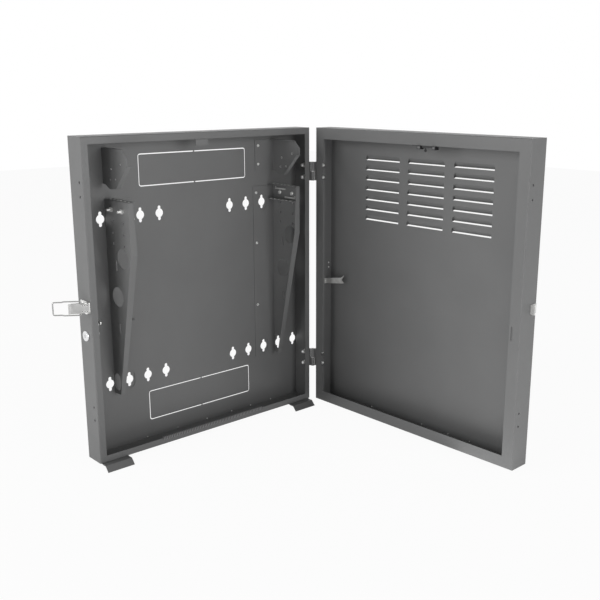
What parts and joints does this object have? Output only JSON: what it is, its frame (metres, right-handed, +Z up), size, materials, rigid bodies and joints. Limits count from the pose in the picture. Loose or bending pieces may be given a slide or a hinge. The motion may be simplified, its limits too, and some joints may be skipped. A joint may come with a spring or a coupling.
{
  "type": "wall mount network cabinet",
  "caption": "Shallow wall mount network cabinet: louvered front tray hinged on a rear tray, vertical rack rails, draw latch and cam lock.",
  "frame": {"origin": "middle of the rear tray's wall face", "axes": "X right as seen by someone facing the wall, -Y out from the wall, Z up"},
  "size_m": [0.7928, 0.7167, 0.7478],
  "materials": {
    "powder_coat": "semi-gloss fine texture powder coat",
    "zinc": "bright zinc plate",
    "chrome": "polished",
    "black_plastic": "matte moulded"
  },
  "bodies": {
    "root": {"rear_tray": "powder_coat", "rail_bracket_right": "powder_coat", "rail_bracket_left": "powder_coat", "rack_rail_right": "powder_coat", "rack_rail_left": "powder_coat", "rack_rail_screws": "zinc", "rack_rail_nuts": "zinc", "support_bracket_right": "powder_coat", "support_bracket_left": "powder_coat", "hinge_pins": "zinc", "hinge_washers": "zinc", "hinge_body_screws": "zinc", "hinge_body_nuts": "zinc", "latch_base": "zinc", "latch_pivot_pin": "zinc", "lock_barrel": "chrome", "lock_nut": "zinc", "foot_right": "powder_coat", "foot_left": "powder_coat", "flange_edging": "black_plastic", "catch_strike": "powder_coat", "hinge_upper_body_leaf": "powder_coat", "hinge_lower_body_leaf": "powder_coat"},
    "door": {"door_shell": "powder_coat", "latch_keeper": "zinc", "door_catch": "black_plastic", "catch_magnets": "zinc", "cable_hook": "zinc", "hinge_door_screws": "zinc", "hinge_door_nuts": "zinc", "hinge_upper_door_leaf": "powder_coat", "hinge_lower_door_leaf": "powder_coat"},
    "lock": {"lock_plug": "chrome", "lock_cam": "zinc", "lock_cam_screw": "zinc"},
    "lever": {"latch_lever": "zinc"},
    "bail": {"latch_bail": "zinc"}
  },
  "joints": [
    {"name": "door_swing", "type": "hinge", "parent": "root", "child": "door", "pos_m": [0.3277, -0.0595, 0], "axis": [0, 0, 1], "range_deg": [-91.25, 83.75]},
    {"name": "lock_turn", "type": "hinge", "parent": "root", "child": "lock", "pos_m": [-0.319, -0.0305, -0.068], "axis": [-1, 0, 0], "range_deg": [-51, 39]},
    {"name": "latch_lever", "type": "hinge", "parent": "root", "child": "lever", "pos_m": [-0.327, -0.052, 0], "axis": [0, 0, 1], "range_deg": [-55, 0]},
    {"name": "latch_bail", "type": "hinge", "parent": "lever", "child": "bail", "pos_m": [-0.33601, -0.04569, 0], "axis": [0, 0, 1], "range_deg": [0, 180]}
  ],
  "couplings": [
    {"joint": "latch_bail", "follows": "latch_lever", "ratio": -3.2727}
  ]
}
